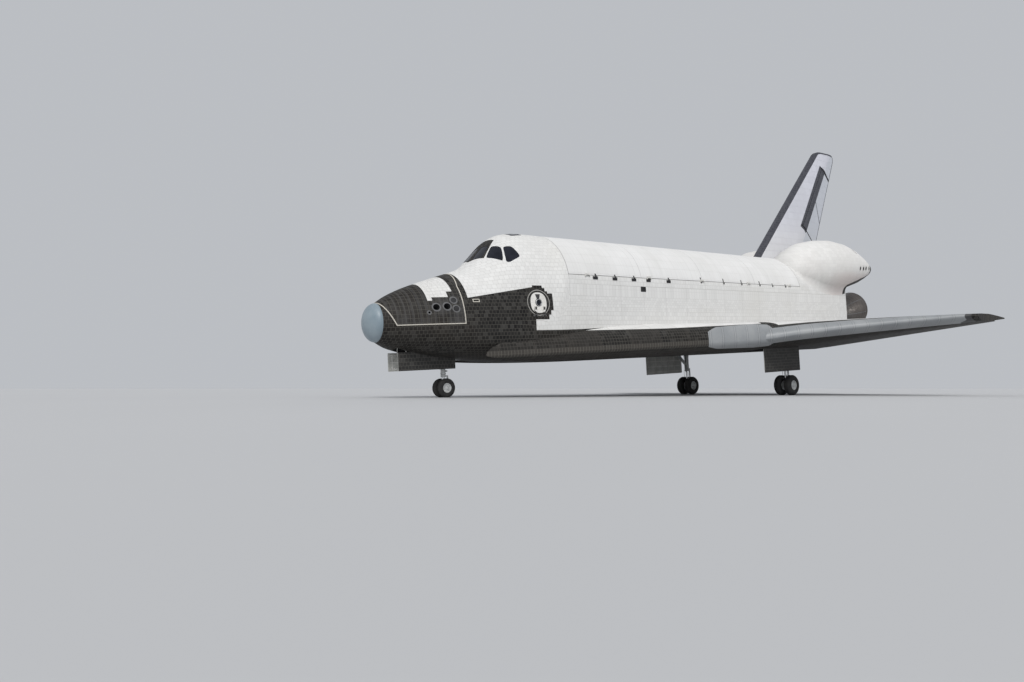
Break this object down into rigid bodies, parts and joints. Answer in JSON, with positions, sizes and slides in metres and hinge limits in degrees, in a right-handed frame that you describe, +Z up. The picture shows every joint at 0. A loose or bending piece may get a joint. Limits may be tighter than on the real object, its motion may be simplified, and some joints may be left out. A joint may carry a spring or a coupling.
{
  "type": "space shuttle orbiter",
  "caption": "Winged space shuttle orbiter parked on its landing gear, with an opening payload bay, side hatch, elevons, split rudder and body flap.",
  "frame": {"origin": "on the ground under the middle of the bounding box", "axes": "-Y towards the nose, +X to the orbiter's left (port), +Z up; the orbiter stands 3.4 degrees nose down on its wheels"},
  "size_m": [23.7744, 36.4592, 17.2521],
  "materials": {
    "white_tile": "white ceramic tiles, matt",
    "black_tile": "black glass-coated ceramic tiles, matt",
    "carbon": "grey coated carbon, satin",
    "blanket": "quilted white ceramic-fibre blankets, matt",
    "glass": "dark window glass",
    "metal": "bare metal",
    "engine": "heat-tinted nozzle metal",
    "gear": "light grey paint, satin",
    "rubber": "black tyre rubber",
    "radiator": "silvery radiator film",
    "cabin": "dull grey cabin paint"
  },
  "bodies": {
    "orbiter": {"nose_cap": "carbon", "forward_thruster_module": "black_tile", "forward_fuselage": "white_tile", "windshield_front_left": "glass", "windshield_front_right": "glass", "windshield_middle_left": "glass", "windshield_middle_right": "glass", "windshield_side_left": "glass", "windshield_side_right": "glass", "overhead_window_left": "glass", "overhead_window_right": "glass", "flight_deck": "cabin", "mid_fuselage": "white_tile", "wing_left": "black_tile", "wing_leading_edge_left": "carbon", "wing_right": "black_tile", "wing_leading_edge_right": "carbon", "vertical_fin": "blanket", "main_engine_top": "engine", "main_engine_left": "engine", "main_engine_right": "engine", "aft_fuselage": "white_tile", "manoeuvring_pod_left": "blanket", "manoeuvring_engine_left": "engine", "manoeuvring_pod_right": "blanket", "manoeuvring_engine_right": "engine", "main_gear_leg_left": "gear", "main_gear_door_left": "black_tile", "main_gear_leg_right": "gear", "main_gear_door_right": "black_tile", "nose_gear_leg": "gear", "nose_gear_door_left": "black_tile", "nose_gear_door_right": "black_tile"},
    "crew_hatch": {"crew_hatch": "black_tile"},
    "bay_door_left": {"bay_door_left": "blanket", "radiator_left": "radiator"},
    "bay_door_right": {"bay_door_right": "blanket", "radiator_right": "radiator"},
    "elevon_inboard_left": {"elevon_inboard_left": "black_tile"},
    "elevon_outboard_left": {"elevon_outboard_left": "black_tile"},
    "elevon_inboard_right": {"elevon_inboard_right": "black_tile"},
    "elevon_outboard_right": {"elevon_outboard_right": "black_tile"},
    "body_flap": {"body_flap": "black_tile"},
    "rudder_core": {"rudder_shaft": "metal"},
    "rudder_panel_left": {"rudder_panel_left": "blanket"},
    "rudder_panel_right": {"rudder_panel_right": "blanket"},
    "main_wheels_left": {"main_wheels_left": "gear", "main_tyre_outer_left": "rubber", "main_tyre_inner_left": "rubber"},
    "main_wheels_right": {"main_wheels_right": "gear", "main_tyre_outer_right": "rubber", "main_tyre_inner_right": "rubber"},
    "nose_fork": {"nose_gear_fork": "gear"},
    "nose_wheels": {"nose_wheels": "gear", "nose_tyre_left": "rubber", "nose_tyre_right": "rubber"}
  },
  "joints": [
    {"name": "crew_hatch_hinge", "type": "hinge", "parent": "orbiter", "child": "crew_hatch", "pos_m": [2.60824, -11.34373, 3.51321], "axis": [0, 0.9982, 0.0593], "range_deg": [0, 90]},
    {"name": "bay_door_left_hinge", "type": "hinge", "parent": "orbiter", "child": "bay_door_left", "pos_m": [2.6924, -0.54927, 5.984], "axis": [0, 0.9982, 0.0593], "range_deg": [0, 175.5]},
    {"name": "bay_door_right_hinge", "type": "hinge", "parent": "orbiter", "child": "bay_door_right", "pos_m": [-2.6924, -0.54927, 5.984], "axis": [0, -0.9982, -0.0593], "range_deg": [0, 175.5]},
    {"name": "elevon_inboard_left_hinge", "type": "hinge", "parent": "orbiter", "child": "elevon_inboard_left", "pos_m": [5.38275, 10.97523, 3.44774], "axis": [0.9969, -0.0047, 0.0783], "range_deg": [-18, 33.5]},
    {"name": "elevon_outboard_left_hinge", "type": "hinge", "parent": "orbiter", "child": "elevon_outboard_left", "pos_m": [9.46588, 10.95618, 3.76853], "axis": [0.9969, -0.0047, 0.0783], "range_deg": [-18, 33.5]},
    {"name": "elevon_inboard_right_hinge", "type": "hinge", "parent": "orbiter", "child": "elevon_inboard_right", "pos_m": [-5.38275, 10.97523, 3.44774], "axis": [0.9969, 0.0047, -0.0783], "range_deg": [-18, 33.5]},
    {"name": "elevon_outboard_right_hinge", "type": "hinge", "parent": "orbiter", "child": "elevon_outboard_right", "pos_m": [-9.46588, 10.95618, 3.76853], "axis": [0.9969, 0.0047, -0.0783], "range_deg": [-18, 33.5]},
    {"name": "body_flap_hinge", "type": "hinge", "parent": "orbiter", "child": "body_flap", "pos_m": [0, 14.60468, 3.60193], "axis": [1, 0, 0], "range_deg": [-22.5, 11.7]},
    {"name": "rudder_turn", "type": "hinge", "parent": "orbiter", "child": "rudder_core", "pos_m": [0, 14.97133, 13.55035], "axis": [0, 0.5215, 0.8533], "range_deg": [-27.1, 27.1]},
    {"name": "speed_brake_left", "type": "hinge", "parent": "rudder_core", "child": "rudder_panel_left", "pos_m": [0, 14.97133, 13.55035], "axis": [0, -0.5215, -0.8533], "range_deg": [0, 49.3]},
    {"name": "speed_brake_right", "type": "hinge", "parent": "rudder_core", "child": "rudder_panel_right", "pos_m": [0, 14.97133, 13.55035], "axis": [0, 0.5215, 0.8533], "range_deg": [0, 49.3]},
    {"name": "main_wheels_left_spin", "type": "hinge", "parent": "orbiter", "child": "main_wheels_left", "pos_m": [3.4544, 5.67586, 0.56515], "axis": [1, 0, 0], "continuous": true},
    {"name": "main_wheels_right_spin", "type": "hinge", "parent": "orbiter", "child": "main_wheels_right", "pos_m": [-3.4544, 5.67586, 0.56515], "axis": [1, 0, 0], "continuous": true},
    {"name": "nose_steering", "type": "hinge", "parent": "orbiter", "child": "nose_fork", "pos_m": [0, -14.55837, 0.65995], "axis": [0, -0.0593, 0.9982], "range_deg": [-10, 10]},
    {"name": "nose_wheels_spin", "type": "hinge", "parent": "nose_fork", "child": "nose_wheels", "pos_m": [0, -14.54331, 0.4064], "axis": [1, 0, 0], "continuous": true}
  ],
  "couplings": [
    {"joint": "speed_brake_right", "follows": "speed_brake_left", "ratio": 1}
  ]
}
